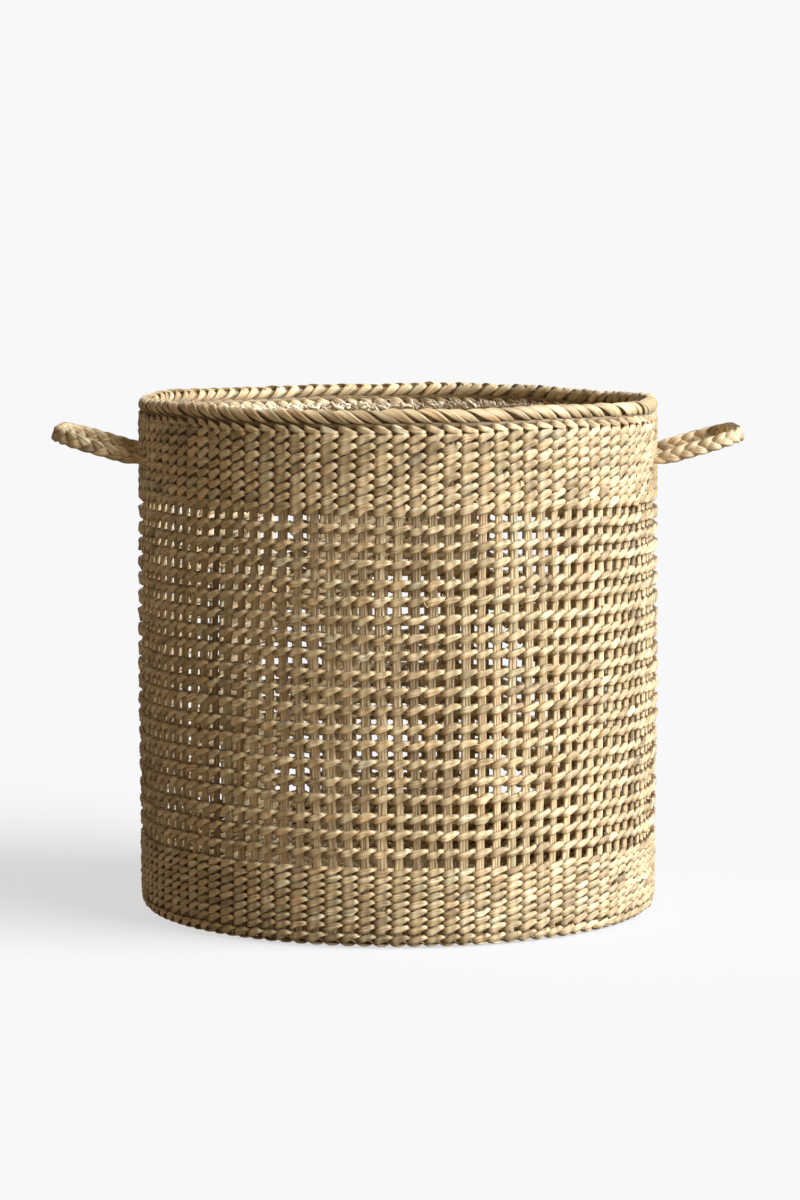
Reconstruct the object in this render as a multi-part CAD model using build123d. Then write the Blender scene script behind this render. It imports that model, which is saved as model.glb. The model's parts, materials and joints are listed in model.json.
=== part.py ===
from build123d import *
import math
import os

# A round storage basket twined from seagrass, with a plaited loop handle on each side.
# Millimetres, +Z up. The origin is the centre of the underside: the basket stands on Z = 0.
# The handles are on the X axis. Every solid is plain: flat-faced strands, stakes and laths
# of the real size, each in its real place in the weave.

# ---- driving dimensions ----
OUTER_RADIUS = 190.0         # over the weft strands of the wall
HEIGHT = 375.0               # floor to the top of the rim
STAKE_COUNT = 100            # upright stakes round the wall

STAKE_WIDTH = 6.0            # along the wall
STAKE_THICKNESS = 3.6        # through the wall
STAKE_CHAMFER = 3.0          # where a stake turns up from the base
STRAND_THICKNESS = 2.9       # one weft strand of the wall, through the wall
FIT_GAP = 0.1                # between neighbouring pieces

LOWER_ROWS = 9               # close rows above the base
LOWER_FIRST_Z = 7.4
LOWER_LAST_Z = 52.9
LOWER_ROW_HEIGHT = 5.0
UPPER_ROWS = 8               # close rows below the rim
UPPER_FIRST_Z = 305.4
UPPER_LAST_Z = 355.5
UPPER_ROW_HEIGHT = 6.2
LATTICE_ROWS = 19            # spaced rows between the two close bands
LATTICE_ROW_HEIGHT = 7.0
LATTICE_UNEVENNESS = 0.09    # how much one space differs from the next
LATTICE_PHASE = 2.4          # radians from one space to the next
LATTICE_START = 0.6
LOCKING_ROW_Z = 361.6        # the reversed row under the rim
LOCKING_ROW_HEIGHT = 4.8

RIM_HEIGHT = 10.6
RIM_DEPTH = 10.6             # through the wall
RIM_PROUD = 0.3              # how far the rim stands out past the wall
RIM_LAYERS = ((0.30, 0.86), (0.42, 1.0), (0.28, 0.62))   # share of the height, share of the depth
TRIMMED_END_DEPTH = 4.4      # how far the stakes' cut ends stand in from the wall
TRIMMED_END_HEIGHT = 7.0
TRIMMED_END_TOP = 360.5

CENTRE_LATHS = (13, 12)      # laths across the middle of the base, lower and upper layer
CENTRE_RADIUS = 61.0         # where the laths end and the spokes begin
ADDED_STAKE_RADIUS = 115.0   # where the second half of the stakes is laid in
SPOKE_THICKNESS = 2.6        # the stakes' flat run across the base
BASE_STRAND_THICKNESS = 2.0
BASE_ROW_PITCH = 7.2
BASE_ROW_WIDTH = 6.7
BASE_ROW_SIDES = 50

HANDLE_REACH = 63.0          # hinge line to the outside of the loop, along the loop
HANDLE_DEPTH = 7.0           # thickness of the plait
HANDLE_STRANDS = ("lower", "middle", "upper")
HANDLE_STRAND_HEIGHT = 4.7
HANDLE_CORNER = 30.0         # outside radius of the loop's corners
HANDLE_TILT = 16.0           # degrees above level
HANDLE_ROOT_GAP = 4.5        # gap between stakes that a leg is tied into, counted from the X axis
HANDLE_ROOT_ROW = 3.5        # space between the upper rows that it is tied into
HINGE_OUT = 9.0              # from the wall to the line on which the handle flexes
KNUCKLE_RADIUS = 4.7         # round end of a leg, on the hinge line
NECK_SHARE = 0.95            # half height of the leg beside the knuckle, as a share of its radius
FULL_HEIGHT_FROM = 16.0      # hinge line to where the plait has its full height
WRAP_DEPTH = 2.6             # the tie round a leg's root, outside the wall
WRAP_HEIGHT = 11.0
TAIL_DEPTH = 2.4             # the strand ends, down the inside of the wall
TAIL_HEIGHT = 24.0
TAIL_RISE = 3.0              # how far they begin above the hole
ROOT_WIDTH = 10.0
SPLICE_WIDTH = 5.0           # the flattened ends, where they pass through the wall
SPLICE_THICKNESS = 0.7

# ---- worked out ----
STEP_ANGLE = 360.0 / STAKE_COUNT
STAKE_OUTER = OUTER_RADIUS - STRAND_THICKNESS - FIT_GAP
STAKE_INNER = STAKE_OUTER - STAKE_THICKNESS
WALL_INNER = STAKE_INNER - FIT_GAP - STRAND_THICKNESS
RIM_BOTTOM = HEIGHT - RIM_HEIGHT
STAKE_TOP = RIM_BOTTOM - FIT_GAP
SPOKE_BOTTOM = BASE_STRAND_THICKNESS
SPOKE_TOP = SPOKE_BOTTOM + SPOKE_THICKNESS

HANDLE_HEIGHT = len(HANDLE_STRANDS) * HANDLE_STRAND_HEIGHT
HANDLE_ANGLE = HANDLE_ROOT_GAP * STEP_ANGLE
HANDLE_HALF_SPAN = OUTER_RADIUS * math.sin(math.radians(HANDLE_ANGLE))
HANDLE_Z = UPPER_FIRST_Z + HANDLE_ROOT_ROW * (UPPER_LAST_Z - UPPER_FIRST_Z) / (UPPER_ROWS - 1)
HINGE_X = OUTER_RADIUS * math.cos(math.radians(HANDLE_ANGLE)) + HINGE_OUT
HINGE_Z = HANDLE_Z + HINGE_OUT * math.tan(math.radians(HANDLE_TILT))


def polar(radius, angle, along=0.0):
    """A point at a radius and an angle in degrees, moved sideways along the wall."""
    a = math.radians(angle)
    return (
        radius * math.cos(a) - along * math.sin(a),
        radius * math.sin(a) + along * math.cos(a),
    )


def even_steps(first, last, count):
    """count values from first to last, evenly spaced."""
    return [first + (last - first) * i / (count - 1) for i in range(count)]


def band(outer_points, inner_points, bottom, height):
    """A closed band between two outlines seen from above."""
    outer = Wire.make_polygon([Vector(x, y, bottom) for x, y in outer_points], close=True)
    inner = Wire.make_polygon([Vector(x, y, bottom) for x, y in inner_points], close=True)
    return extrude(Face(outer, [inner]), height, dir=(0, 0, 1)).solid()


def ring(outer, inner, bottom, height, sides=STAKE_COUNT):
    """A flat-sided ring whose flats are at the outer and inner radius."""
    half_turn = 180.0 / sides
    corner = 1 / math.cos(math.radians(half_turn))
    angles = [(2 * i + 1) * half_turn for i in range(sides)]
    return band(
        [polar(outer * corner, a) for a in angles],
        [polar(inner * corner, a) for a in angles],
        bottom,
        height,
    )


def write(name, solids):
    """Writes one node's solids to its STEP file."""
    node = Compound(children=solids) if len(solids) > 1 else solids[0]
    export_step(node, f"parts/{name}.step", write_pcurves=False)


# ---- wall ----
def weft_strand(bottom, height):
    """A strand that passes outside the even stakes and inside the odd ones, all the way round."""
    half_width = STAKE_WIDTH / 2 + FIT_GAP
    far_side, near_side = [], []
    for i in range(STAKE_COUNT):
        far = OUTER_RADIUS if i % 2 == 0 else WALL_INNER + STRAND_THICKNESS
        for along in (-half_width, half_width):
            far_side.append(polar(far, i * STEP_ANGLE, along))
            near_side.append(polar(far - STRAND_THICKNESS, i * STEP_ANGLE, along))
    return band(far_side, near_side, bottom, height)


def weft_row(middle, height):
    """A twined row: two equal strands, the upper one a stake further round than the lower."""
    lower = weft_strand(middle - height / 2, height / 2)
    upper = Pos(0, 0, height / 2) * Rot(0, 0, STEP_ANGLE) * lower
    return [lower, upper]


def lattice_heights():
    """The spaced rows, with the slightly uneven spacing of hand work."""
    phases = [LATTICE_PHASE * i + LATTICE_START for i in range(LATTICE_ROWS + 1)]
    spaces = [1 + LATTICE_UNEVENNESS * math.sin(phase) for phase in phases]
    run = UPPER_FIRST_Z - LOWER_LAST_Z
    return [LOWER_LAST_Z + run * sum(spaces[: i + 1]) / sum(spaces) for i in range(LATTICE_ROWS)]


def write_rows(name, heights, row_height):
    for i, z in enumerate(heights):
        write(f"{name}_{i + 1:02d}", weft_row(z, row_height))


def stakes(first, start_radius):
    """Every other stake: flat across the base from start_radius, then up the wall to the rim."""
    profile = [
        (start_radius, SPOKE_BOTTOM),
        (STAKE_OUTER - STAKE_CHAMFER, SPOKE_BOTTOM),
        (STAKE_OUTER, SPOKE_BOTTOM + STAKE_CHAMFER),
        (STAKE_OUTER, STAKE_TOP),
        (STAKE_INNER, STAKE_TOP),
        (STAKE_INNER, SPOKE_TOP),
        (start_radius, SPOKE_TOP),
    ]
    face = make_face(Plane.XZ * Polyline(*profile, close=True))
    stake = extrude(face, STAKE_WIDTH / 2, both=True).solid()
    return [Rot(0, 0, i * STEP_ANGLE) * stake for i in range(first, STAKE_COUNT, 2)]


def rim_border():
    """The rolled border: three stacked flat-sided rings in one solid, widest at mid height."""
    middle = OUTER_RADIUS + RIM_PROUD - RIM_DEPTH / 2
    bottom = RIM_BOTTOM
    border = None
    for height_share, depth_share in RIM_LAYERS:
        half = RIM_DEPTH * depth_share / 2
        layer = ring(middle + half, middle - half, bottom, height_share * RIM_HEIGHT)
        border = layer if border is None else (border + layer).solid()
        bottom += height_share * RIM_HEIGHT
    return [border]


def trimmed_ends():
    """The stakes' cut ends, turned in under the rim on the inside of the wall."""
    radius = WALL_INNER - FIT_GAP - TRIMMED_END_DEPTH / 2
    block = Box(TRIMMED_END_DEPTH, STAKE_WIDTH, TRIMMED_END_HEIGHT)
    end = Pos(radius, 0, TRIMMED_END_TOP - TRIMMED_END_HEIGHT / 2) * block
    return [Rot(0, 0, (i + 0.5) * STEP_ANGLE) * end for i in range(STAKE_COUNT)]


# ---- base ----
def base_rows(outermost, innermost):
    """Rings of weft under and over the flat run of the stakes, between two radii."""
    height = BASE_STRAND_THICKNESS - FIT_GAP
    rings = []
    outer = outermost
    while outer - BASE_ROW_WIDTH >= innermost:
        inner = outer - BASE_ROW_WIDTH
        rings.append(ring(outer, inner, 0, height, BASE_ROW_SIDES))
        if outer < WALL_INNER:
            rings.append(ring(outer, inner, SPOKE_TOP + FIT_GAP, height, BASE_ROW_SIDES))
        outer -= BASE_ROW_PITCH
    return rings


def centre_laths(count, bottom, turn):
    """Flat laths side by side, cut to the round middle of the base."""
    pitch = STAKE_WIDTH + FIT_GAP
    laths = []
    for i in range(count):
        off = (i - (count - 1) / 2) * pitch
        reach = math.sqrt(CENTRE_RADIUS**2 - (abs(off) + STAKE_WIDTH / 2) ** 2)
        corner = Plane((-reach, off - STAKE_WIDTH / 2, bottom))
        lath = Solid.make_box(2 * reach, STAKE_WIDTH, SPOKE_THICKNESS, corner)
        laths.append(Rot(0, 0, turn) * lath)
    return laths


# ---- handles, made for the +X side and turned round for the other ----
def loop_outline():
    """The U of the loop seen from above, measured out from the hinge line."""
    outer_half = HANDLE_HALF_SPAN + HANDLE_DEPTH / 2
    inner_half = outer_half - HANDLE_DEPTH
    start = -KNUCKLE_RADIUS
    bend_x = HANDLE_REACH - HANDLE_CORNER
    bend_y = outer_half - HANDLE_CORNER

    def corners(radius):
        """The two rounded corners, in short flats, from the front leg to the rear one."""
        front = [(bend_x + x, y - bend_y) for x, y in [polar(radius, a) for a in even_steps(-90, 0, 6)]]
        rear = [(x, -y) for x, y in reversed(front)]
        return front + rear

    outside = [(start, -outer_half), *corners(HANDLE_CORNER), (start, outer_half)]
    inside = [(start, -inner_half), *corners(HANDLE_CORNER - HANDLE_DEPTH), (start, inner_half)]
    return outside + inside[::-1]


def loop_side_view():
    """The loop from the side: round ends on the hinge line, widening to the full height."""
    full = HANDLE_HEIGHT / 2
    neck = KNUCKLE_RADIUS * NECK_SHARE
    width = 2 * HANDLE_HALF_SPAN + 2 * HANDLE_DEPTH
    upper = [(0, neck), (FULL_HEIGHT_FROM, full), (HANDLE_REACH, full)]
    outline = upper + [(x, -z) for x, z in reversed(upper)]
    blade = extrude(make_face(Plane.XZ * Polyline(*outline, close=True)), width / 2, both=True)
    knuckle = Rot(90, 0, 0) * Cylinder(KNUCKLE_RADIUS, width)
    return blade + knuckle


def handle_strand(layer):
    """One strand of the plait, laid straight: a third of the height, round the whole loop."""
    bottom = (layer - len(HANDLE_STRANDS) / 2) * HANDLE_STRAND_HEIGHT
    outline = make_face(Polyline(*loop_outline(), close=True))
    loop = Pos(0, 0, bottom) * extrude(outline, HANDLE_STRAND_HEIGHT)
    strand = loop & loop_side_view()
    return Pos(HINGE_X, 0, HINGE_Z) * Rot(0, -HANDLE_TILT, 0) * strand


def handle_root(side):
    """Where a leg is tied in: a wrap outside, flat ends through the wall, and tails inside."""
    outside = OUTER_RADIUS + FIT_GAP
    inside = WALL_INNER - FIT_GAP
    wrap = Pos(outside + WRAP_DEPTH / 2, 0, 0) * Box(WRAP_DEPTH, ROOT_WIDTH, WRAP_HEIGHT)
    splice_length = outside - inside + WRAP_DEPTH
    splice = Pos((outside + inside) / 2, 0, 0) * Box(splice_length, SPLICE_WIDTH, SPLICE_THICKNESS)
    tail_middle = TAIL_RISE - TAIL_HEIGHT / 2
    tail = Pos(inside - TAIL_DEPTH / 2, 0, tail_middle) * Box(TAIL_DEPTH, ROOT_WIDTH, TAIL_HEIGHT)
    return Pos(0, 0, HANDLE_Z) * Rot(0, 0, side * HANDLE_ANGLE) * (wrap + splice + tail)


def write_handle(hand, turn):
    """The handle on one side. Its front end is towards -Y, whichever side it is on."""
    facing = Rot(0, 0, turn)
    for layer, strand_name in enumerate(HANDLE_STRANDS):
        write(f"{hand}_handle_{strand_name}_strand", (facing * handle_strand(layer)).solids())
    for end, side in (("front", -1), ("rear", 1)):
        turned_side = side if turn == 0 else -side
        write(f"{hand}_handle_{end}_root", (facing * handle_root(turned_side)).solids())


def main():
    os.makedirs("parts", exist_ok=True)

    write("base_centre_laths_lower", centre_laths(CENTRE_LATHS[0], 0, 0))
    write("base_centre_laths_upper", centre_laths(CENTRE_LATHS[1], SPOKE_THICKNESS + FIT_GAP, 90))
    write("base_rows_inner", base_rows(ADDED_STAKE_RADIUS - FIT_GAP, CENTRE_RADIUS + FIT_GAP))
    write("base_rows_outer", base_rows(STAKE_OUTER, ADDED_STAKE_RADIUS))
    write("long_stakes", stakes(0, CENTRE_RADIUS + 1))
    write("added_stakes", stakes(1, ADDED_STAKE_RADIUS))

    write_rows("lower_band_row", even_steps(LOWER_FIRST_Z, LOWER_LAST_Z, LOWER_ROWS), LOWER_ROW_HEIGHT)
    write_rows("lattice_row", lattice_heights(), LATTICE_ROW_HEIGHT)
    write_rows("upper_band_row", even_steps(UPPER_FIRST_Z, UPPER_LAST_Z, UPPER_ROWS), UPPER_ROW_HEIGHT)
    write("locking_row", weft_row(LOCKING_ROW_Z, LOCKING_ROW_HEIGHT))
    write("rim_border", rim_border())
    write("trimmed_ends", trimmed_ends())

    write_handle("right", 0)
    write_handle("left", 180)


main()
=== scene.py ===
import json
import math

import bpy
import numpy as np
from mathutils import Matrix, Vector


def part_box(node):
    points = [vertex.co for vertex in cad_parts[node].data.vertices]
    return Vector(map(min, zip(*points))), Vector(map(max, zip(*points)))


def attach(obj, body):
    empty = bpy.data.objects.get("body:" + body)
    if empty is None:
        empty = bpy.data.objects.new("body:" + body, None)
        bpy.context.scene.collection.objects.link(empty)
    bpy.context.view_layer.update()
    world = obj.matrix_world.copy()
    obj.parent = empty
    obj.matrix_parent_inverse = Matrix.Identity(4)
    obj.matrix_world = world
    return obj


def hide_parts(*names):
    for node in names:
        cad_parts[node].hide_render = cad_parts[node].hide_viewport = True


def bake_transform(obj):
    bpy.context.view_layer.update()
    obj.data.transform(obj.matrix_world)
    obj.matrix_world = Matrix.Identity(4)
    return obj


# A round basket twined from seagrass: 100 upright stakes, weft rows of two strands each,
# a rolled rim, a woven base and a plaited loop handle on each side. Metres, +Z up.

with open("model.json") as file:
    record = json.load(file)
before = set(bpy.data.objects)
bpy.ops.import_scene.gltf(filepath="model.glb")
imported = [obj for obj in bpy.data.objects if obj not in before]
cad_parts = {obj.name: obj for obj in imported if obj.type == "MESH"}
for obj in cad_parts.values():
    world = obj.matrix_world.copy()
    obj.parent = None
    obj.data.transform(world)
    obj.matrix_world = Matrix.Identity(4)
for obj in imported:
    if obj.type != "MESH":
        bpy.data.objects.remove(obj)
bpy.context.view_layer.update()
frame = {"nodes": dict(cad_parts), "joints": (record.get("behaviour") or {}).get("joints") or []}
MM = 0.001
TAU = 2 * math.pi
UP = np.array([0, 0, 1.0])
rng = np.random.default_rng(1)

# ---- sizes taken from the frame ----
WALL_ROWS = sorted(n for n in frame["nodes"] if "_row_" in n)
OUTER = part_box("lattice_row_10")[1][0]    # wall radius over the weft
STAKES = 100
STAKE_R = OUTER - 4.8 * MM                # middle of the stakes
RIM_LOW, RIM_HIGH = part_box("rim_border")
RIM_MIDDLE = (RIM_LOW[2] + RIM_HIGH[2]) / 2


# ---- mesh building ----
def smooth_step(x):
    x = np.clip(x, 0, 1)
    return x * x * (3 - 2 * x)


def unit(v):
    return v / np.maximum(np.linalg.norm(v, axis=-1, keepdims=True), 1e-12)


class Weave:
    """Collects swept strands of one piece and makes a single mesh of them."""

    def __init__(self):
        self.verts, self.quads, self.grain, self.tint = [], [], [], []
        self.count = 0

    def add(self, centre, wide, thin, half_wide, half_thin, tint, sides=14, closed=False,
            ridge=0.05, ridges=5, roll=0.0, keel=1.0, edge=0.0):
        """Sweeps an oval section of `sides` points along each of B paths of N points. centre, wide, thin
        and tint are B x N x 3, and the half sizes B x N. The section has `ridges` ridges, each a share
        `ridge` of its thickness, and roll turns them. keel over 1 draws the oval towards a lozenge and
        under 1 towards a box. edge is how much painted shade darkens its two sides against its faces,
        as if the crevices beside them were in shadow."""
        b, n, _ = centre.shape
        offset = rng.uniform(0, 3, (b, 1))
        angle = np.arange(sides) * TAU / sides
        bump = 1 + ridge * np.cos(ridges * angle + roll)
        flat_x = np.sign(np.cos(angle)) * np.abs(np.cos(angle)) ** keel
        flat_y = np.sign(np.sin(angle)) * np.abs(np.sin(angle)) ** keel
        across = half_wide[..., None] * flat_x
        through = half_thin[..., None] * flat_y * bump
        verts = (centre[:, :, None] + wide[:, :, None] * across[..., None]
                 + thin[:, :, None] * through[..., None])
        step = np.linalg.norm(np.diff(centre, axis=1), axis=-1)
        along = np.concatenate([np.zeros((b, 1)), np.cumsum(step, axis=1)], axis=1)
        grain = np.empty((b, n, sides, 3))
        grain[..., 0] = (along + offset)[..., None]
        grain[..., 1] = across + offset[..., None]
        grain[..., 2] = through
        tints = np.ones((b, n, sides, 4))
        tints[..., :3] = tint[:, :, None, :]
        # painted shade: the two sides of the section darkened by edge
        tints[..., 1] -= edge * np.cos(angle) ** 6
        loops = n if closed else n - 1
        i, j = np.meshgrid(np.arange(loops), np.arange(sides), indexing="ij")
        i2, j2 = (i + 1) % n, (j + 1) % sides
        corners = [i * sides + j, i * sides + j2, i2 * sides + j2, i2 * sides + j]
        quad = np.stack(corners, -1).reshape(-1, 4)
        if not closed:
            k = np.arange(sides // 2 - 1)
            cap = np.stack([k, k + 1, sides - 2 - k, sides - 1 - k], -1)
            quad = np.concatenate([quad, cap[:, ::-1], cap + (n - 1) * sides])
        quads = quad[None] + (np.arange(b) * n * sides)[:, None, None] + self.count
        self.verts.append(verts.reshape(-1, 3))
        self.quads.append(quads.reshape(-1, 4))
        self.grain.append(grain.reshape(-1, 3))
        self.tint.append(tints.reshape(-1, 4))
        self.count += b * n * sides

    def build(self, name, material, nodes, body="root"):
        verts, quads = np.concatenate(self.verts), np.concatenate(self.quads)
        mesh = bpy.data.meshes.new(name)
        mesh.vertices.add(len(verts))
        mesh.vertices.foreach_set("co", verts.astype(np.float32).ravel())
        mesh.loops.add(quads.size)
        mesh.loops.foreach_set("vertex_index", quads.astype(np.int32).ravel())
        mesh.polygons.add(len(quads))
        mesh.polygons.foreach_set("loop_start", np.arange(0, quads.size, 4, dtype=np.int32))
        mesh.polygons.foreach_set("use_smooth", np.ones(len(quads), bool))
        mesh.update(calc_edges=True)
        grain = mesh.attributes.new("grain", "FLOAT_VECTOR", "POINT")
        grain.data.foreach_set("vector", np.concatenate(self.grain).astype(np.float32).ravel())
        # the tint's second channel carries painted shade as well as each stitch's brightness
        tint = mesh.attributes.new("tint", "FLOAT_COLOR", "POINT")
        tint.data.foreach_set("color", np.concatenate(self.tint).astype(np.float32).ravel())
        mesh.materials.append(material)
        piece = bpy.data.objects.new(name, mesh)
        bpy.context.collection.objects.link(piece)
        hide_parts(*nodes)
        if body:
            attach(piece, body)
        return piece


# ---- shape of the wall ----
FULLEST = 0.18                  # height at which the wall stands out furthest
FOOT_ROUND = 0.010              # radius with which it turns in at the floor
RIM_SWAY_START = 0.29           # height above which the rim's own unevenness sets in


def wall_bulge(z):
    """How far the wall stands out from a straight cylinder: fuller in the lattice, drawn in at the
    foot."""
    full = 1.3 * MM * np.exp(-(((z - FULLEST) / 0.11) ** 2))
    below = np.clip(FOOT_ROUND - z, 0, FOOT_ROUND)
    foot = -(FOOT_ROUND - np.sqrt(np.maximum(FOOT_ROUND**2 - below**2, 0)))
    return full + foot - 0.4 * MM


def wall_sway(theta, z):
    """The unevenness of hand work: how far a place on the wall lies above its true height. The rim
    stands highest at the rear."""
    rim_wave = 1.9 * np.sin(theta) + 0.7 + 0.5 * np.sin(5 * theta + 1)
    rim_wave = rim_wave * smooth_step((z - RIM_SWAY_START) / 0.075)
    return MM * (0.55 * np.sin(3 * theta + 9 * z + 0.7) + 0.35 * np.sin(7 * theta - 21 * z + 2.1)
                 + 0.2 * np.sin(13 * theta + 40 * z) + rim_wave)


def stake_drift(theta, z):
    """How far a stake leans sideways, in radians round the axis."""
    return 0.006 * np.sin(5 * theta + 6 * z) * np.sin(9 * z + theta) + 0.004 * np.sin(17 * theta + 31 * z)


def polar(radius, theta, z):
    return np.stack([radius * np.cos(theta), radius * np.sin(theta), z + 0 * theta], -1)


def outward_at(theta):
    """The level direction away from the axis."""
    return np.stack([np.cos(theta), np.sin(theta), 0 * theta], -1)


def sideways_at(theta):
    """The level direction along the wall."""
    return np.stack([-np.sin(theta), np.cos(theta), 0 * theta], -1)


def spread_along(shade, points):
    """The same shade for each point along a strand."""
    return np.repeat(shade[:, None], points, axis=1)


def stitch_tint(count):
    """Per stitch: place in the palette, brightness, and how much it is stained."""
    place = np.clip(rng.beta(2.2, 2.2, count), 0, 1)
    light = np.clip(rng.normal(0.5, 0.17, count), 0, 1)
    stain = np.clip(rng.beta(1.2, 5.0, count), 0, 1)
    return np.stack([place, light, stain], -1)


# ---- twined rows ----
ROW_STEPS = 10                  # points along a strand from one stake to the next
WEFT_THICKNESS = 2.4 * MM
IN_AND_OUT = 3.3 * MM           # how far a strand swings before and behind the stakes
LATE = 0.24                     # radians of a strand's wave by which a stitch lies past its stake
OUT_OF_MIDDLE = 0.26            # share of the swing by which the strands stand outside the stakes
SLANT = 0.75                    # how far a stitch's top edge runs ahead of its bottom edge
TWIST = 0.30                    # how far a stitch's end turns its upper edge outwards, in radians


def twined_row(weave, z, half_height, rise, lean=1):
    """Two strands, each outside every other stake. A strand climbs as it passes in front of a stake,
    ends over its neighbour's pointed start, and dives behind the next stake. Between two stakes
    one strand fills the upper half of the row and the other the lower half. lean is -1 for a row
    twined the other way round."""
    n = STAKES * ROW_STEPS
    u = np.arange(n) / ROW_STEPS
    stitch = np.round(u).astype(int) % STAKES
    local = u - np.round(u)                     # -0.5 to 0.5 along a stitch
    window = np.cos(math.pi * local) ** 2       # 1 at the middle of a stitch, 0 where the next begins
    theta0 = u * TAU / STAKES
    centre, wide, thin, half_w, half_t, tint = [], [], [], [], [], []
    for strand in range(2):
        phase = math.pi * (u + strand)
        facing = np.cos(phase - LATE)           # 1 in front of a stake, -1 behind one
        between = np.sin(phase - LATE) ** 2     # 1 between two stakes
        tip = np.sin(phase - LATE) ** 3         # 1 at a stitch's end, -1 at its start
        swing = np.tanh(1.8 * facing) / math.tanh(1.8) + OUT_OF_MIDDLE + 0.26 * between + 0.08 * tip
        outside = np.clip(2.5 * facing, -1, 1)
        climb = np.sin(phase - 0.5 * LATE) - np.sin(3 * (phase - 0.5 * LATE)) / 9
        # what makes each stitch a little different from its neighbours
        fat = rng.normal(0, 0.11, STAKES)[stitch] * window
        lift = rng.normal(0, 0.38 * MM, STAKES)[stitch] * window
        tilt = rng.normal(0, 0.18, STAKES)[stitch] * window
        out = rng.normal(0, 0.25 * MM, STAKES)[stitch] * window
        slant = rng.normal(1, 0.22, STAKES)[stitch]
        shift = rng.normal(0, 0.06, STAKES)[stitch] * window * TAU / STAKES
        theta = theta0 + stake_drift(theta0, z) + shift
        steepness = 1 + (slant - 1) * window
        height = z + wall_sway(theta0, z) + lean * rise * climb / 1.11 * steepness + lift
        radius = STAKE_R + wall_bulge(height) + IN_AND_OUT * swing + out
        c = polar(radius, theta, height)
        forward = unit(np.roll(c, -1, 0) - np.roll(c, 1, 0))
        outward = outward_at(theta)
        across = unit(np.cross(outward, forward))
        across *= np.sign(across[:, 2:3] + 1e-9)
        through = unit(np.cross(forward, across))
        through *= np.sign((through * outward).sum(1, keepdims=True) + 1e-9)
        turned = unit(across + through * (tilt + TWIST * lean * np.sin(phase) * outside)[:, None])
        leaf = (1 - np.abs(2 * local) ** 1.75) ** 0.85
        ends = 0.53 - 0.08 * np.sin(phase)
        shade = stitch_tint(STAKES)[stitch]
        # painted shade: dark where the strand goes in between its neighbours
        shade[:, 1] -= 1.1 * smooth_step(1 - np.abs(facing + 0.08 * tip) / 0.22)
        centre.append(c)
        wide.append(turned + (SLANT * lean * outside)[:, None] * forward)
        thin.append(unit(np.cross(forward, turned)))
        half_w.append(half_height * (ends + (1 - ends) * leaf) * (1 + fat))
        half_t.append(WEFT_THICKNESS / 2 * (1.0 + 0.35 * between * (1 - leaf)))
        tint.append(shade)
    # edge paints shade on the sides of each stitch, down into the crevices between them
    weave.add(np.array(centre), np.array(wide), np.array(thin), np.array(half_w), np.array(half_t),
              np.array(tint), sides=14, closed=True, ridge=0.14, ridges=4, roll=rng.uniform(0, 6),
              keel=0.92, edge=1.35)


def loose_fibres(weave, z, count):
    """Short broken fibres, from 3 to 9 mm long, that stand off the surface of a row."""
    theta = rng.uniform(0, TAU, count)
    length = rng.uniform(3, 9, count) * MM
    slope = rng.normal(0.3, 0.8, count)
    t = np.linspace(0, 1, 5)
    lift = (rng.uniform(0.3, 2.2, count) * MM)[:, None] * t**1.6
    angle = theta[:, None] + (length * np.cos(slope))[:, None] * t / OUTER
    height = z + wall_sway(theta, z)[:, None] + (length * np.sin(slope))[:, None] * t
    height = height + (rng.normal(0, 1.2, count) * MM)[:, None] * np.sin(math.pi * t)
    centre = polar(OUTER - 0.8 * MM + wall_bulge(z) + lift, angle, height)
    forward = unit(np.gradient(centre, axis=1))
    wide = unit(np.cross(outward_at(angle), forward))
    thin = unit(np.cross(forward, wide))
    half = rng.uniform(0.16, 0.42, count)[:, None] * (1 - 0.6 * t) * MM
    tint = spread_along(stitch_tint(count), len(t))
    tint[..., 1] += 0.35
    weave.add(centre, wide, thin, half, np.maximum(half * 0.5, 0.1 * MM), tint, sides=6, ridge=0)


# ---- materials ----
def ramp(nodes, stops):
    node = nodes.new("ShaderNodeValToRGB")
    node.color_ramp.interpolation = "EASE"
    while len(node.color_ramp.elements) < len(stops):
        node.color_ramp.elements.new(0.5)
    for element, (place, colour) in zip(node.color_ramp.elements, stops):
        element.position = place
        element.color = (*colour, 1)
    return node


# the shades of dried seagrass, from the darkest to the palest, with a reddish and a green one
STRAW = [
    (0.00, (0.330, 0.224, 0.100)),
    (0.20, (0.480, 0.352, 0.170)),
    (0.40, (0.620, 0.474, 0.250)),
    (0.56, (0.680, 0.544, 0.312)),
    (0.72, (0.650, 0.438, 0.214)),
    (0.86, (0.530, 0.468, 0.262)),
    (1.00, (0.790, 0.688, 0.445)),
]
BLEACHED = (0.86, 0.80, 0.64)
STAIN = (0.20, 0.15, 0.08)
SPECK = (0.12, 0.075, 0.035)
DEEPENING = (1.0, 1.12, 1.35)   # powers of the level for red, green and blue: darker levels, painted shade among them, come out warmer


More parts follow.
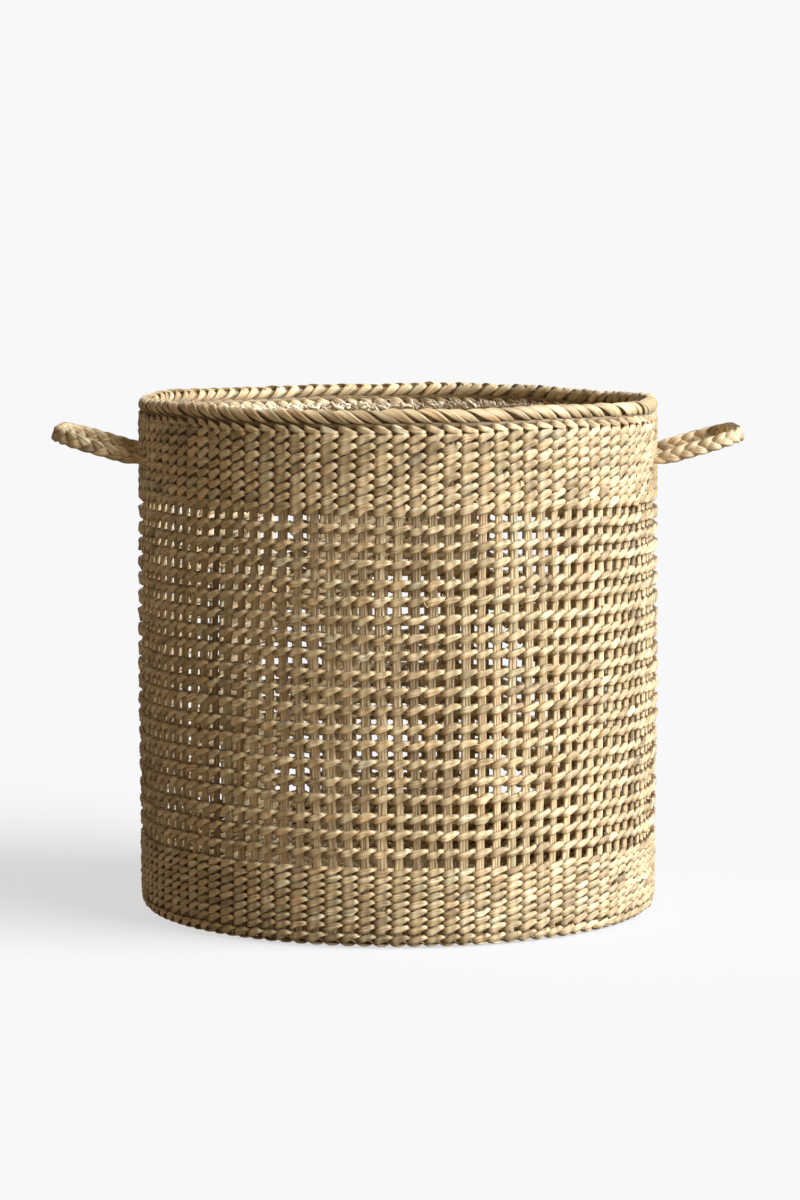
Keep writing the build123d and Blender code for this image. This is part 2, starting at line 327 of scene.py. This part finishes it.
def seagrass(name, brightness=1.0, fibre_scale=1.0, pale=0.0, bump=0.55):
    """Dried seagrass: fibres along the strand, each stitch its own shade, with odd stains and specks."""
    material = bpy.data.materials.new(name)
    material.use_nodes = True
    nodes, links = material.node_tree.nodes, material.node_tree.links
    nodes.clear()

    def node(kind, **settings):
        made = nodes.new(kind)
        for key, value in settings.items():
            setattr(made, key, value)
        return made

    def math_node(operation, a, b=None, clamp=False):
        made = node("ShaderNodeMath", operation=operation, use_clamp=clamp)
        for socket, value in zip(made.inputs, (a, b)):
            if value is None:
                continue
            if isinstance(value, (int, float)):
                socket.default_value = value
            else:
                links.new(value, socket)
        return made.outputs[0]

    def noise(vector, scale, detail, roughness=0.5):
        stretch = node("ShaderNodeVectorMath", operation="MULTIPLY")
        links.new(vector, stretch.inputs[0])
        stretch.inputs[1].default_value = scale
        made = node("ShaderNodeTexNoise")
        made.inputs["Scale"].default_value = 1.0
        made.inputs["Detail"].default_value = detail
        made.inputs["Roughness"].default_value = roughness
        links.new(stretch.outputs[0], made.inputs["Vector"])
        return made.outputs["Fac"]

    def mix(kind, factor, a, b):
        made = node("ShaderNodeMix", data_type="RGBA", blend_type=kind)
        for key, value in (("Factor", factor), ("A", a), ("B", b)):
            socket = made.inputs[key]
            if isinstance(value, (int, float)):
                socket.default_value = value
            elif isinstance(value, tuple):
                socket.default_value = (*value, 1)
            else:
                links.new(value, socket)
        return made.outputs["Result"]

    grain = node("ShaderNodeAttribute", attribute_name="grain").outputs["Vector"]
    tint = node("ShaderNodeSeparateColor")
    links.new(node("ShaderNodeAttribute", attribute_name="tint").outputs["Color"], tint.inputs[0])
    # light is each stitch's brightness less the painted shade put on strand sides, crevices, tucked-in
    # ends and the rim core
    place, light, stain = tint.outputs

    fine = 2600 * fibre_scale
    coarse = 900 * fibre_scale
    fibres = noise(grain, (55, fine, fine), 2.5, 0.55)
    bundles = noise(grain, (26, coarse, coarse), 1.5)
    patches = noise(grain, (75, 260, 260), 2.5)
    specks = noise(grain, (420, 900, 900), 2.0, 0.6)

    def remap(value, *limits):
        made = node("ShaderNodeMapRange")
        for key, limit in zip(("From Min", "From Max", "To Min", "To Max"), limits):
            made.inputs[key].default_value = limit
        links.new(value, made.inputs["Value"])
        return made.outputs[0]

    def weighted(a, share_a, b, share_b):
        return math_node("ADD", math_node("MULTIPLY", a, share_a), math_node("MULTIPLY", b, share_b))

    spread = math_node("ADD", place, math_node("MULTIPLY", math_node("SUBTRACT", patches, 0.5), 0.8))
    palette = ramp(nodes, [(p, tuple(c * brightness for c in colour)) for p, colour in STRAW])
    links.new(spread, palette.inputs[0])
    base = mix("MIX", pale, palette.outputs[0], BLEACHED)
    streaks = remap(weighted(fibres, 0.4, bundles, 0.6), 0.34, 0.66, 0.58, 1.26)
    lightness = math_node("ADD", 0.76, math_node("MULTIPLY", light, 0.52))
    level = math_node("MULTIPLY", streaks, math_node("MAXIMUM", 0.10, lightness))
    level_colour = node("ShaderNodeCombineColor")
    for socket, power in zip(level_colour.inputs, DEEPENING):
        links.new(math_node("POWER", level, power), socket)
    shaded = mix("MULTIPLY", 1.0, base, level_colour.outputs[0])
    how_stained = math_node("MULTIPLY", math_node("MULTIPLY", stain, stain), 1.1, clamp=True)
    stained = mix("MIX", how_stained, shaded, STAIN)
    speckled = mix("MIX", math_node("MULTIPLY", remap(specks, 0.66, 0.74), 0.55), stained, SPECK)

    shader = node("ShaderNodeBsdfPrincipled")
    links.new(speckled, shader.inputs["Base Color"])
    links.new(math_node("SUBTRACT", 0.70, math_node("MULTIPLY", fibres, 0.28)), shader.inputs["Roughness"])
    shader.inputs["Specular IOR Level"].default_value = 0.65
    shader.inputs["Sheen Weight"].default_value = 0.30
    shader.inputs["Sheen Roughness"].default_value = 0.4
    height = node("ShaderNodeBump")
    height.inputs["Strength"].default_value = bump
    height.inputs["Distance"].default_value = 0.7 * MM
    links.new(weighted(fibres, 0.45, bundles, 0.75), height.inputs["Height"])
    links.new(height.outputs[0], shader.inputs["Normal"])
    output = node("ShaderNodeOutputMaterial")
    links.new(shader.outputs[0], output.inputs[0])
    return material


WEFT = seagrass("seagrass_weft")
STAKE = seagrass("seagrass_stake", brightness=0.93, fibre_scale=0.8, bump=0.8)
BORDER = seagrass("seagrass_border", brightness=1.03)
CUT_ENDS = seagrass("seagrass_cut_ends", brightness=1.1, pale=0.5)
PLAIT = seagrass("seagrass_plait", brightness=0.97, fibre_scale=0.7, bump=1.0)
BASE = seagrass("seagrass_base", brightness=0.92)


# ---- wall ----
# by the start of the row's name: half the height of a stitch, and how far it climbs each way
ROW_KINDS = {
    "lattice": (3.0 * MM, 1.8 * MM),
    "upper_band": (3.5 * MM, 2.0 * MM),
    "lower_band": (2.8 * MM, 1.65 * MM),
}
FOOT_ROW_BELOW = 10 * MM        # the row whose middle is lower than this hides the edge of the base,
FOOT_ROW_DROP = 1.5 * MM        # and hangs this much lower than its solid
FIBRES_PER_ROW = 14


def wall_rows():
    for node in WALL_ROWS:
        low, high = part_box(node)
        z = (low[2] + high[2]) / 2
        if z < FOOT_ROW_BELOW:
            z -= FOOT_ROW_DROP
        kind = node.split("_row_")[0]
        half_height, rise = ROW_KINDS[kind]
        weave = Weave()
        twined_row(weave, z, half_height, rise)
        loose_fibres(weave, z, FIBRES_PER_ROW)
        weave.build(node + "_weave", WEFT, [node])
    low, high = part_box("locking_row")
    weave = Weave()
    twined_row(weave, (low[2] + high[2]) / 2 - 0.3 * MM, 2.6 * MM, 1.5 * MM, lean=-1)
    weave.build("locking_row_weave", WEFT, ["locking_row"])


BASE_Z = 3.3 * MM               # middle of the spokes and laths, over the floor
RIB_PITCH = 1.75                # mm between the ribs of a stake
RIB_HALF_WIDTH = 1.5 * MM


def stakes(node, first, start_radius):
    """Stakes lie flat in the base, turn up at its edge and run between the weft strands to the rim.
    Each is a flattened stem of three ribs side by side."""
    index = np.arange(first, STAKES, 2)
    theta = index * TAU / STAKES
    bend = 8 * MM
    run = np.arange(start_radius, STAKE_R - bend, 8 * MM)
    turn = np.linspace(0, math.pi / 2, 6)
    rise = np.arange(BASE_Z + bend + 5 * MM, RIM_LOW[2] + 2 * MM, 6 * MM)
    radius = np.concatenate([run, STAKE_R - bend + bend * np.sin(turn), np.full(len(rise), STAKE_R)])
    z = np.concatenate([np.full(len(run), BASE_Z), BASE_Z + bend * (1 - np.cos(turn)), rise])
    upright = np.clip((z - BASE_Z) / bend, 0, 1)
    n, b = len(z), len(index)
    stem = stitch_tint(b)
    fullness = 1 + rng.normal(0, 0.08, (b, 1)) + 0.06 * np.sin(z[None] * 60 + 17 * theta[:, None])
    weave = Weave()
    for rib in (-1, 0, 1):
        aside = (rib * RIB_PITCH * fullness + rng.normal(0, 0.12, (b, 1))
                 + 0.22 * np.sin(z[None] * 75 + rng.uniform(0, 6, (b, 1)))) * MM
        drift = stake_drift(theta[:, None], z[None]) * upright
        angle = theta[:, None] + drift + aside / np.maximum(radius, 0.05)
        wiggle = 0.25 * MM * np.sin(z[None] * 480 + theta[:, None] * 40) * upright
        out = radius[None] + (wall_bulge(z) + 0.4 * MM)[None] * upright + wiggle
        out = out + rng.normal(0, 0.12, (b, 1)) * MM * upright
        centre = polar(out, angle, np.broadcast_to(z, (b, n)))
        forward = unit(np.gradient(centre, axis=1))
        side = sideways_at(angle)
        through = unit(np.cross(side, forward))
        wide = unit(side + through * rng.normal(0, 0.12, (b, 1, 1)))
        thin = unit(np.cross(wide, forward))
        tint = spread_along(stem, n)
        tint[..., 1] += rng.normal(0, 0.16, (b, 1))
        half_w = RIB_HALF_WIDTH * fullness
        half_t = np.where(upright > 0.1, 1.35, 1.15)[None] * MM + np.zeros((b, 1))
        # edge paints shade on the sides of each rib
        weave.add(centre, wide, thin, half_w, half_t, tint, sides=8, ridge=0.0, edge=0.22)
    weave.build(node + "_reeds", STAKE, [node])


# ---- rim ----
RIM_STRAND = 1.3 * MM           # half the thickness of a strand of the border
RIM_TALL = (RIM_HIGH[2] - RIM_LOW[2]) / 2 - RIM_STRAND
RIM_DEEP = 3.7 * MM
RIM_RING = OUTER - 5.0 * MM     # radius of the middle of the border


def rim_core(weave):
    """The bundled ends that fill the rolled border, mostly hidden by it."""
    points = 300
    around = np.linspace(0, TAU, points, endpoint=False)
    for inward, lift, size in ((0.6, 0.0, 2.9), (0.2, -5.3, 2.6)):
        height = RIM_MIDDLE + lift * MM + wall_sway(around, RIM_MIDDLE)
        core = polar(RIM_RING - inward * MM + 0 * around, around, height)
        onward = unit(np.roll(core, -1, 0) - np.roll(core, 1, 0))
        upward = np.broadcast_to(UP, core.shape)
        # painted shade: the core is darkened, as it lies in the shadow of the rolls round it
        shade = np.repeat(stitch_tint(1) + np.array([[0, -0.9, 0]]), points, axis=0)
        half_w = np.full((1, points), size * MM)
        half_t = np.full((1, points), 2.6 * MM)
        weave.add(core[None], upward[None], np.cross(onward, upward)[None], half_w, half_t, shade[None],
                  sides=10, closed=True, ridge=0.1, ridges=5)


def rim():
    """The rolled border: each stake's end climbs the inside, folds over the top and lies slantwise
    outside, round a filling of bundled ends."""
    steps = 40
    turn = np.radians(np.linspace(-112, 262, steps))    # from the inside over the top, 90, to the outside
    slide = (turn - turn[0]) / (turn[-1] - turn[0])
    inside_run, outside_run = 17 * MM / OUTER, 21 * MM / OUTER
    fold, outer_foot = math.radians(60), math.radians(235)
    # how far round the wall a strand has gone from the fold, both on the inside and on the outside
    lead = np.where(turn < fold, (fold - turn) / (fold - turn[0]) * inside_run,
                    (turn - fold) / (outer_foot - fold) * outside_run)
    for _ in range(3):
        lead[1:-1] = (lead[:-2] + 2 * lead[1:-1] + lead[2:]) / 4
    theta0 = np.arange(STAKES) * TAU / STAKES
    theta = theta0[:, None] + lead[None] + rng.normal(0, 0.007, (STAKES, 1))
    theta -= 0.5 * outside_run
    radial = RIM_RING - RIM_DEEP * np.cos(turn)[None] * (1 + rng.normal(0, 0.07, (STAKES, 1)))
    height = RIM_MIDDLE + RIM_TALL * np.sin(turn)[None] * (1 + rng.normal(0, 0.05, (STAKES, 1)))
    height = height + wall_sway(theta, RIM_MIDDLE)
    centre = polar(radial, theta, height)
    forward = unit(np.gradient(centre, axis=1))
    outward = np.stack([-np.cos(turn)[None] * np.cos(theta), -np.cos(turn)[None] * np.sin(theta),
                        np.sin(turn)[None] + 0 * theta], -1)
    wide = unit(np.cross(outward, forward))
    leaf = np.sin(math.pi * np.clip(slide * 0.96 + 0.02, 0, 1)) ** 0.5
    half_w = (3.6 * MM * leaf)[None] * (1 + rng.normal(0, 0.12, (STAKES, 1)))
    half_t = (RIM_STRAND * (0.5 + 0.5 * leaf))[None] + 0 * theta
    wide = unit(wide + outward * (0.22 + rng.normal(0, 0.12, (STAKES, 1)))[..., None])
    thin = unit(np.cross(forward, wide))
    tint = spread_along(stitch_tint(STAKES), steps)
    # painted shade: each border strand darker over its first and last tenth, where it goes in under the
    # others
    tint[..., 1] -= 0.9 * smooth_step((slide - 0.90) / 0.10) + 0.9 * smooth_step((0.10 - slide) / 0.10)
    weave = Weave()
    # edge paints shade on the sides of each roll of the border
    weave.add(centre, wide, thin, half_w, half_t, tint, sides=16, ridge=0.16, ridges=6, edge=1.0)
    rim_core(weave)
    weave.build("rim_border_rolls", BORDER, ["rim_border"])


# crushed stubs and loose fibres: number for each stake, then in mm the length, half the width, the
# scatter in height and how far they stand in from the wall
FRAYED = (
    (10, (4.5, 10.0), (0.8, 1.9), 1.5, 4.0),
    (8, (3.0, 8.0), (0.16, 0.42), 2.2, 4.6),
)


def trimmed_ends():
    """The cut ends of the stakes inside, under the rim: crushed stubs that fray into pale fibres and
    stand in from the wall as a ragged ridge."""
    low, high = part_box("trimmed_ends")
    inner = high[0] - 4.4 * MM
    ridge_z = high[2] - 2.2 * MM
    weave = Weave()
    for per_stake, length, half, spread, stand in FRAYED:
        count = STAKES * per_stake
        theta = rng.uniform(0, TAU, count)
        run = rng.uniform(*length, count) * MM
        slope = np.clip(rng.normal(0.25, 0.5, count), -1.2, 1.3)
        t = np.linspace(-0.5, 0.5, 6)
        curl = rng.normal(0, 0.9, count) * MM
        bow = rng.uniform(0.2, 1.6, count) * MM
        angle = theta[:, None] + (run * np.cos(slope))[:, None] * t / inner
        z = (ridge_z + rng.normal(0, spread * 0.75, count) * MM)[:, None]
        z = z + (run * np.sin(slope))[:, None] * t
        z = z + curl[:, None] * np.sin(3 * math.pi * t) * 0.6
        depth = rng.uniform(0.4, stand, count) * MM
        radius = inner + 3.6 * MM - depth[:, None] + bow[:, None] * (4 * t**2) * np.sign(t - 0.1)
        radius = np.clip(radius, inner - 1.2 * MM, inner + 4.4 * MM)
        top = RIM_LOW[2] - 1 * MM + wall_sway(angle, RIM_LOW[2])
        z = np.minimum(z + wall_sway(angle, ridge_z), top)
        centre = polar(radius, angle, z)
        forward = unit(np.gradient(centre, axis=1))
        inward = -outward_at(angle)
        roll = rng.normal(0, 0.8, (count, 1, 1))
        upright = unit(np.cross(inward, forward))
        side = unit(upright * np.cos(roll) + inward * np.sin(roll))
        thin = unit(np.cross(side, forward))
        taper = (1 - (2 * t) ** 4)[None] * 0.6 + 0.4
        width = rng.uniform(*half, count)[:, None] * taper * MM
        tint = spread_along(stitch_tint(count), len(t))
        tint[..., 1] += rng.normal(0, 0.22, (count, 1))
        weave.add(centre, side, thin, width, np.maximum(width * 0.35, 0.14 * MM), tint, sides=6, ridge=0)
    weave.build("trimmed_ends_frayed", CUT_ENDS, ["trimmed_ends"])


# ---- base ----
SPOKES_START = 66 * MM          # radius where the long spokes begin, at the ends of the laths
ADDED_START = 117 * MM          # radius where the added ones begin, between them
RING_PITCH = 7.2 * MM
RING_HALF_WIDTH = 3.5 * MM


def base_ring(weave, radius, spokes, steps, sides):
    """A twined row lying flat: its two strands pass over and under the spokes."""
    n = spokes * steps
    u = np.arange(n) / steps
    stitch = np.round(u).astype(int) % spokes
    centre, wide, thin, half_w, half_t, tint = [], [], [], [], [], []
    for strand in range(2):
        phase = math.pi * (u + strand)
        swing = 1.12 * np.cos(phase) - 0.12 * np.cos(3 * phase)
        theta = u * TAU / spokes
        r = radius + 0.26 * RING_HALF_WIDTH * np.sin(phase)
        c = polar(r, theta, 0 * theta)
        c[:, 2] = BASE_Z + 2.15 * MM * swing
        forward = unit(np.roll(c, -1, 0) - np.roll(c, 1, 0))
        across = unit(np.cross(forward, UP))
        local = u - np.round(u)
        leaf = np.maximum(np.cos(math.pi * local), 0) ** 0.6
        centre.append(c)
        wide.append(across)
        thin.append(unit(np.cross(across, forward)))
        half_w.append(RING_HALF_WIDTH * (0.55 + 0.45 * leaf))
        half_t.append(1.05 * MM * (0.75 + 0.25 * leaf))
        tint.append(stitch_tint(spokes)[stitch])
    weave.add(np.array(centre), np.array(wide), np.array(thin), np.array(half_w), np.array(half_t),
              np.array(tint), sides=sides, closed=True, ridge=0.05)


def base_rows():
    """Rings over the long spokes alone, then, further out, over the long and the added ones."""
    outer_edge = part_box("base_rows_outer")[1][0]
    inner_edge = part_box("base_rows_inner")[1][0]
    for node, start, end, spokes, steps, sides in (
            ("base_rows_inner", inner_edge - 3.4 * MM, SPOKES_START, STAKES // 2, 6, 10),
            ("base_rows_outer", outer_edge - 4.2 * MM, inner_edge + 1 * MM, STAKES, 5, 8)):
        weave = Weave()
        radius = start
        while radius > end:
            base_ring(weave, radius, spokes, steps, sides)
            radius -= RING_PITCH
        weave.build(node + "_weave", BASE, [node])


LATH_PITCH = 6.1 * MM
LATH_REACH = 69 * MM            # from the middle to a lath's end
LATHS_WOVEN = 36 * MM           # beyond this the laths part and fan out


def laths(node, count, turned):
    """Flat laths woven over and under the others, fanning out at their ends into the spokes."""
    t = np.linspace(-1, 1, 81)
    offsets = (np.arange(count) - (count - 1) / 2) * LATH_PITCH
    sign = np.where(np.arange(count) % 2 == 0, 1.0, -1.0)
    spread = offsets / LATH_PITCH * TAU / (STAKES / 2)
    end_x, end_y = LATH_REACH * np.cos(spread), LATH_REACH * np.sin(spread)
    x = t[None] * end_x[:, None]
    bend = smooth_step((np.abs(x) - LATHS_WOVEN) / (34 * MM))
    y = offsets[:, None] * (1 - bend) + end_y[:, None] * bend
    crossing = math.pi * x / LATH_PITCH
    wave = np.cos(crossing) if turned else np.sin(crossing)
    fade = 1 - smooth_step((np.abs(x) - LATHS_WOVEN) / (8 * MM))
    z = BASE_Z + (-1.15 if turned else 1.15) * MM * sign[:, None] * wave * fade
    centre = np.stack([x, y, z], -1)
    if turned:
        centre = np.stack([-centre[..., 1], centre[..., 0], centre[..., 2]], -1)
    forward = unit(np.gradient(centre, axis=1))
    wide = unit(np.cross(forward, UP))
    thin = unit(np.cross(wide, forward))
    half_w = (2.75 + 1.0 * smooth_step((np.abs(x) - 38 * MM) / (28 * MM))) * MM
    half_t = np.full(x.shape, 1.05 * MM)
    tint = spread_along(stitch_tint(count), len(t))
    weave = Weave()
    weave.add(centre, wide, thin, half_w, half_t, tint, sides=14, ridge=0.08, ridges=6)
    weave.build(node + "_strips", BASE, [node])


# ---- handles ----
JOINTS = {j["name"]: j for j in frame["joints"]}
PLAIT_PERIOD = 31 * MM
PLAIT_HALF_WIDTH = 6.3 * MM
LOOP_TILT = math.radians(16)    # the loops slope up from the wall
LOOP_HALF = OUTER * math.sin(math.radians(16.2))    # from the middle of a loop to its leg
LOOP_CORNER = 26.5 * MM
LOOP_REACH = 59.5 * MM          # from the hinge to the middle of the plait
LOOP_WALL = -13.0 * MM          # the legs begin this far behind the hinge, in the wall
LOOP_POINTS = 260


def loop_path(joint, side):
    """The middle line of the loop, from the wall at the front round to the wall at the rear."""
    hinge = np.array(joint["pos_m"])
    turn_x, turn_y = LOOP_REACH - LOOP_CORNER, -LOOP_HALF + LOOP_CORNER
    points = [(LOOP_WALL, -LOOP_HALF), (turn_x, -LOOP_HALF)]
    arc = np.linspace(-math.pi / 2, 0, 12)[1:]
    points += [(turn_x + LOOP_CORNER * math.cos(a), turn_y + LOOP_CORNER * math.sin(a)) for a in arc]
    points += [(x, -y) for x, y in reversed(points)]
    flat = np.array(points)
    length = np.concatenate([[0], np.cumsum(np.linalg.norm(np.diff(flat, axis=0), axis=1))])
    s = np.linspace(0, length[-1], LOOP_POINTS)
    x, y = np.interp(s, length, flat[:, 0]), np.interp(s, length, flat[:, 1])
    for _ in range(30):
        x[1:-1] = (x[:-2] + 2 * x[1:-1] + x[2:]) / 4
        y[1:-1] = (y[:-2] + 2 * y[1:-1] + y[2:]) / 4
    rise = np.where(x > 0, x * math.sin(LOOP_TILT), x * math.tan(LOOP_TILT) * 0.6)
    out = np.where(x > 0, x * math.cos(LOOP_TILT), x)
    centre = np.stack([side * (hinge[0] * side + out), y, hinge[2] + rise], -1)
    return s, x, centre


def handle(hand, side):
    """A flat plait of three strands. Near the wall they draw together into a leg."""
    joint = JOINTS[hand + "_handle_flex"]
    s, x, middle = loop_path(joint, side)
    forward = unit(np.gradient(middle, axis=0))
    up = np.array([-math.sin(LOOP_TILT) * side, 0, math.cos(LOOP_TILT)])
    upward = unit(up[None] - (forward @ up)[:, None] * forward)
    outward = unit(np.cross(forward, upward))
    gather = 0.35 + 0.65 * smooth_step((x + 10 * MM) / (18 * MM))
    for k, name in enumerate(("lower", "middle", "upper")):
        phase = TAU * (s / PLAIT_PERIOD) * side + TAU * k / 3
        across = PLAIT_HALF_WIDTH * 0.46 * np.sin(phase) * gather
        through = 1.5 * MM * np.sin(2 * phase) * gather
        centre = middle + upward * across[:, None] + outward * through[:, None]
        along = unit(np.gradient(centre, axis=0))
        wide = unit(np.cross(outward, along))
        thin = unit(np.cross(along, wide))
        half_w = 3.7 * MM * (1 - 0.25 * np.sin(phase) ** 2) * (0.5 + 0.5 * gather)
        half_t = 1.75 * MM * (0.6 + 0.4 * gather)
        period = (phase / math.pi + 0.5).astype(int)
        shades = stitch_tint(period.max() - period.min() + 1)
        weave = Weave()
        # edge paints shade on the sides of each plait strand
        weave.add(centre[None], wide[None], thin[None], half_w[None], half_t[None],
                  shades[period - period.min()][None], sides=20, ridge=0.12, ridges=6, keel=0.9, edge=1.0)
        node = f"{hand}_handle_{name}_strand"
        piece = weave.build(node + "_plait", PLAIT, [node], body=None)
        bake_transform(piece)


def handle_root(hand, end):
    """The plait's strand ends, drawn through the wall and left as tails down the inside, with a tie
    outside."""
    node = f"{hand}_handle_{end}_root"
    low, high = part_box(node)
    theta = math.atan2((low[1] + high[1]) / 2, (low[0] + high[0]) / 2)
    hole_z = high[2] - 6.5 * MM
    weave = Weave()
    t = np.linspace(0, 1, 24)
    for k in (-1, 0, 1):
        drop = np.clip((t - 0.35) / 0.65, 0, 1)
        radius = OUTER + 1.5 * MM - 13.5 * MM * smooth_step(t / 0.4)
        angle = theta + k * (0.4 + 2.6 * drop) * MM / OUTER
        z = hole_z - drop**1.3 * (20 + 2.5 * k) * MM
        centre = polar(radius, angle + 0 * t, z)[None]
        forward = unit(np.gradient(centre, axis=1))
        side = np.broadcast_to(sideways_at(theta), centre.shape)
        thin = unit(np.cross(side, forward))
        half_w = ((0.9 + 0.9 * drop) * MM)[None]
        half_t = np.full(half_w.shape, 0.8 * MM)
        tint = spread_along(stitch_tint(1), len(t))
        weave.add(centre, side, thin, half_w, half_t, tint, sides=10, ridge=0.1)
    turn = np.linspace(-0.55 * math.pi, 0.55 * math.pi, 20)
    for lift, lean in ((2.2, 0.6), (-2.2, -0.6), (0.0, 0.0)):
        radius = OUTER - 1.5 * MM + 3.2 * MM * np.cos(turn)
        angle = theta + 6.0 * MM * np.sin(turn) / OUTER
        z = hole_z + (lift + lean * np.sin(turn)) * MM
        centre = polar(radius, angle, z)[None]
        forward = unit(np.gradient(centre, axis=1))
        wide = np.broadcast_to(UP, centre.shape)
        thin = unit(np.cross(forward, wide))
        half_w = np.full((1, len(turn)), 1.5 * MM)
        half_t = np.full((1, len(turn)), 0.8 * MM)
        tint = spread_along(stitch_tint(1), len(turn))
        weave.add(centre, wide, thin, half_w, half_t, tint, sides=10, ridge=0.1)
    weave.build(node + "_tie", PLAIT, [node])


# ---- stage, light and camera ----
AMBIENT = 0.23
AMBIENT_COLOUR = (1.0, 0.78, 0.57)
SUN_POWER = 7.8
SUN_COLOUR = (0.97, 1.0, 1.08)
SUN_SOFTNESS = 52        # degrees across
SUN_HEIGHT = 32          # degrees above the floor
SUN_TURN = 69            # degrees to the right of the camera
BOUNCE_POWER = 0.7       # light that the floor in front throws back up
BOUNCE_COLOUR = (1.0, 0.88, 0.68)
BOUNCE_PLACE = (-0.05, -0.50, 1 * MM)
BOUNCE_SIZE = (0.75, 0.5)
FLOOR_ALBEDO = 0.20
FLOOR_GLOW = 0.64
CAMERA_PLACE = (1.5 * MM, -2.714, 0.486)
CAMERA_DROP = 5.495      # degrees that it looks down
CAMERA_LENS = 110.7      # mm, on a sensor 36 mm wide


def plain(name, colour, roughness):
    material = bpy.data.materials.new(name)
    material.use_nodes = True
    shader = material.node_tree.nodes["Principled BSDF"]
    shader.inputs["Base Color"].default_value = (*colour, 1)
    shader.inputs["Roughness"].default_value = roughness
    return material


def studio():
    bpy.ops.mesh.primitive_plane_add(size=600, location=(0, 0, -0.5 * MM))
    floor = bpy.context.object
    floor.name = "floor"
    paper = plain("floor_paper", (FLOOR_ALBEDO,) * 3, 0.95)
    shader = paper.node_tree.nodes["Principled BSDF"]
    shader.inputs["Specular IOR Level"].default_value = 0.0
    shader.inputs["Emission Color"].default_value = (1, 1, 1, 1)
    shader.inputs["Emission Strength"].default_value = FLOOR_GLOW
    floor.data.materials.append(paper)
    floor.visible_diffuse = False
    floor.visible_glossy = False
    world = bpy.data.worlds.new("studio")
    bpy.context.scene.world = world
    world.use_nodes = True
    nodes, links = world.node_tree.nodes, world.node_tree.links
    ambient = nodes["Background"]
    ambient.inputs["Color"].default_value = (*AMBIENT_COLOUR, 1)
    ambient.inputs["Strength"].default_value = AMBIENT
    backdrop = nodes.new("ShaderNodeBackground")
    sunlit = SUN_POWER * math.sin(math.radians(SUN_HEIGHT)) / math.pi
    paper_white = [FLOOR_GLOW + FLOOR_ALBEDO * (sunlit * sun + AMBIENT * sky)
                   for sun, sky in zip(SUN_COLOUR, AMBIENT_COLOUR)]
    backdrop.inputs["Color"].default_value = (*paper_white, 1)
    seen = nodes.new("ShaderNodeLightPath")
    either = nodes.new("ShaderNodeMixShader")
    links.new(seen.outputs["Is Camera Ray"], either.inputs[0])
    links.new(ambient.outputs[0], either.inputs[1])
    links.new(backdrop.outputs[0], either.inputs[2])
    links.new(either.outputs[0], nodes["World Output"].inputs[0])
    data = bpy.data.lights.new("key", "SUN")
    data.energy, data.color = SUN_POWER, SUN_COLOUR
    data.angle = math.radians(SUN_SOFTNESS)
    key = bpy.data.objects.new("key", data)
    key.rotation_euler = (math.radians(90 - SUN_HEIGHT), 0, math.radians(SUN_TURN))
    bpy.context.collection.objects.link(key)
    data = bpy.data.lights.new("floor_bounce", "AREA")
    data.shape = "RECTANGLE"
    data.size, data.size_y = BOUNCE_SIZE
    data.energy, data.color = BOUNCE_POWER, BOUNCE_COLOUR
    bounce = bpy.data.objects.new("floor_bounce", data)
    bounce.location = BOUNCE_PLACE
    bounce.rotation_euler = (math.pi, 0, 0)
    bounce.visible_camera = False
    bpy.context.collection.objects.link(bounce)
    bpy.context.scene.view_settings.view_transform = "Standard"
    bpy.context.scene.view_settings.look = "None"


def camera():
    data = bpy.data.cameras.new("camera")
    data.sensor_width = 36
    data.lens = CAMERA_LENS
    data.clip_end = 1000
    cam = bpy.data.objects.new("camera", data)
    cam.location = CAMERA_PLACE
    cam.rotation_euler = (math.radians(90 - CAMERA_DROP), 0, 0)
    bpy.context.collection.objects.link(cam)
    bpy.context.scene.camera = cam


wall_rows()
stakes("long_stakes", 0, SPOKES_START)
stakes("added_stakes", 1, ADDED_START)
rim()
trimmed_ends()
base_rows()
laths("base_centre_laths_lower", 13, False)
laths("base_centre_laths_upper", 12, True)
for hand, side in (("right", 1), ("left", -1)):
    handle(hand, side)
    for end in ("front", "rear"):
        handle_root(hand, end)
studio()
camera()
